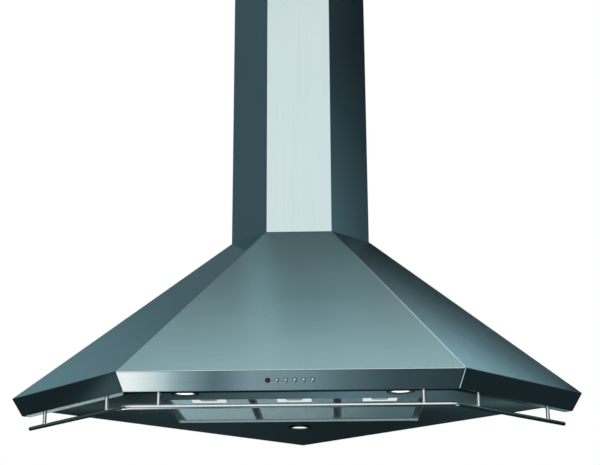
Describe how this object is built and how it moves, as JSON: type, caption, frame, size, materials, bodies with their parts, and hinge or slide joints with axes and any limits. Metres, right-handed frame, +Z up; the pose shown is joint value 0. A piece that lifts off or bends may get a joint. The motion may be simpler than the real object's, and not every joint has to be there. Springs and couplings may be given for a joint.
{
  "type": "corner chimney range hood",
  "caption": "Corner range hood with a faceted steel canopy, telescopic chimney, tilting grease filters, lamps, push buttons, a utensil rail and a fan inside.",
  "frame": {"origin": "on the line where the two walls meet, level with the bottom edge of the fascia", "axes": "+Z up the wall corner and along the duct outlet, +Y into the corner, +X to the right seen from the room, so the hood faces -Y"},
  "size_m": [1.4128, 1.0259, 1.541],
  "materials": {
    "canopy_steel": "satin brushed stainless sheet, cool tone",
    "chimney_steel": "satin brushed stainless sheet, upright grain",
    "underside_steel": "satin stainless sheet",
    "tray_steel": "satin stainless sheet",
    "galvanised_steel": "galvanised, spangled",
    "filter_frame_aluminium": "bright folded aluminium",
    "filter_mesh_aluminium": "stacked expanded mesh",
    "handle_plastic": "moulded, pale, satin",
    "latch_plastic": "moulded, satin",
    "bezel_chrome": "polished ring",
    "lens_glass": "frosted",
    "bulb_glass": "clear capsule on a ceramic base",
    "rail_chrome": "polished bar",
    "post_chrome": "polished spacer",
    "button_chrome": "polished cap",
    "indicator_red": "dark red lens",
    "zinc_fasteners": "bright zinc",
    "black_plastic": "moulded, fine texture",
    "grey_plastic": "moulded, satin",
    "white_plastic": "moulded, satin",
    "scroll_plastic": "moulded, satin",
    "wheel_plastic": "moulded, satin",
    "shaft_steel": "ground",
    "motor_paint": "stoved grey paint",
    "capacitor_can": "drawn can"
  },
  "bodies": {
    "hood": {"cable_gland": "black_plastic", "canopy_front_panel": "canopy_steel", "canopy_left_panel": "canopy_steel", "canopy_right_panel": "canopy_steel", "capacitor": "capacitor_can", "collar_screws": "zinc_fasteners", "fan_motor": "motor_paint", "filter_tray": "tray_steel", "indicator_bezel": "black_plastic", "indicator_lens": "indicator_red", "lamp_bulbs": "bulb_glass", "lamp_left_bezel": "bezel_chrome", "lamp_left_housing": "galvanised_steel", "lamp_left_lens": "lens_glass", "lamp_rear_bezel": "bezel_chrome", "lamp_rear_housing": "galvanised_steel", "lamp_rear_lens": "lens_glass", "lamp_right_bezel": "bezel_chrome", "lamp_right_housing": "galvanised_steel", "lamp_right_lens": "lens_glass", "lamp_transformer": "white_plastic", "lower_chimney": "chimney_steel", "motor_bracket": "galvanised_steel", "outlet_collar": "black_plastic", "rail_nuts": "zinc_fasteners", "rail_posts": "post_chrome", "scroll_left": "scroll_plastic", "scroll_right": "scroll_plastic", "switch_block": "black_plastic", "terminal_box": "grey_plastic", "terminal_box_lid": "grey_plastic", "top_plate": "galvanised_steel", "top_plate_screws": "zinc_fasteners", "underside_panel": "underside_steel", "utensil_rail": "rail_chrome", "wall_panel_left": "galvanised_steel", "wall_panel_right": "galvanised_steel"},
    "upper_chimney": {"upper_chimney": "chimney_steel", "chimney_wall_bracket": "galvanised_steel"},
    "fan": {"fan_wheel": "wheel_plastic", "fan_shaft": "shaft_steel"},
    "flap_front": {"damper_flap_front": "grey_plastic"},
    "flap_rear": {"damper_flap_rear": "grey_plastic"},
    "filter_left": {"filter_left_frame": "filter_frame_aluminium", "filter_left_mesh": "filter_mesh_aluminium", "filter_left_handle": "handle_plastic"},
    "latch_left": {"filter_left_latch": "latch_plastic"},
    "filter_middle": {"filter_middle_frame": "filter_frame_aluminium", "filter_middle_mesh": "filter_mesh_aluminium", "filter_middle_handle": "handle_plastic"},
    "latch_middle": {"filter_middle_latch": "latch_plastic"},
    "filter_right": {"filter_right_frame": "filter_frame_aluminium", "filter_right_mesh": "filter_mesh_aluminium", "filter_right_handle": "handle_plastic"},
    "latch_right": {"filter_right_latch": "latch_plastic"},
    "button_light": {"button_light": "button_chrome"},
    "button_stop": {"button_stop": "button_chrome"},
    "button_speed_1": {"button_speed_1": "button_chrome"},
    "button_speed_2": {"button_speed_2": "button_chrome"},
    "button_speed_3": {"button_speed_3": "button_chrome"}
  },
  "joints": [
    {"name": "upper_chimney_slide", "type": "slide", "parent": "hood", "child": "upper_chimney", "axis": [0, 0, 1], "range_m": [0, 0.4]},
    {"name": "fan_spin", "type": "hinge", "parent": "hood", "child": "fan", "pos_m": [0, -0.259, 0.43], "axis": [1, 0, 0], "continuous": true},
    {"name": "flap_front_lift", "type": "hinge", "parent": "hood", "child": "flap_front", "pos_m": [0, -0.19, 0.6305], "axis": [-1, 0, 0], "range_deg": [0, 80]},
    {"name": "flap_rear_lift", "type": "hinge", "parent": "hood", "child": "flap_rear", "pos_m": [0, -0.18, 0.6305], "axis": [1, 0, 0], "range_deg": [0, 80]},
    {"name": "filter_left_tilt", "type": "hinge", "parent": "hood", "child": "filter_left", "pos_m": [-0.208, -0.45435, 0.0287], "axis": [1, 0, 0], "range_deg": [0, 75]},
    {"name": "latch_left_slide", "type": "slide", "parent": "filter_left", "child": "latch_left", "axis": [0, 1, 0], "range_m": [0, 0.005], "stiffness_N_per_m": 250},
    {"name": "filter_middle_tilt", "type": "hinge", "parent": "hood", "child": "filter_middle", "pos_m": [0, -0.45435, 0.0287], "axis": [1, 0, 0], "range_deg": [0, 75]},
    {"name": "latch_middle_slide", "type": "slide", "parent": "filter_middle", "child": "latch_middle", "axis": [0, 1, 0], "range_m": [0, 0.005], "stiffness_N_per_m": 250},
    {"name": "filter_right_tilt", "type": "hinge", "parent": "hood", "child": "filter_right", "pos_m": [0.208, -0.45435, 0.0287], "axis": [1, 0, 0], "range_deg": [0, 75]},
    {"name": "latch_right_slide", "type": "slide", "parent": "filter_right", "child": "latch_right", "axis": [0, 1, 0], "range_m": [0, 0.005], "stiffness_N_per_m": 250},
    {"name": "button_light_press", "type": "slide", "parent": "hood", "child": "button_light", "axis": [0, 0.7941, 0.6078], "range_m": [0, 0.0035], "stiffness_N_per_m": 400},
    {"name": "button_stop_press", "type": "slide", "parent": "hood", "child": "button_stop", "axis": [0, 0.7941, 0.6078], "range_m": [0, 0.0035], "stiffness_N_per_m": 400},
    {"name": "button_speed_1_press", "type": "slide", "parent": "hood", "child": "button_speed_1", "axis": [0, 0.7941, 0.6078], "range_m": [0, 0.0035], "stiffness_N_per_m": 400},
    {"name": "button_speed_2_press", "type": "slide", "parent": "hood", "child": "button_speed_2", "axis": [0, 0.7941, 0.6078], "range_m": [0, 0.0035], "stiffness_N_per_m": 400},
    {"name": "button_speed_3_press", "type": "slide", "parent": "hood", "child": "button_speed_3", "axis": [0, 0.7941, 0.6078], "range_m": [0, 0.0035], "stiffness_N_per_m": 400}
  ]
}
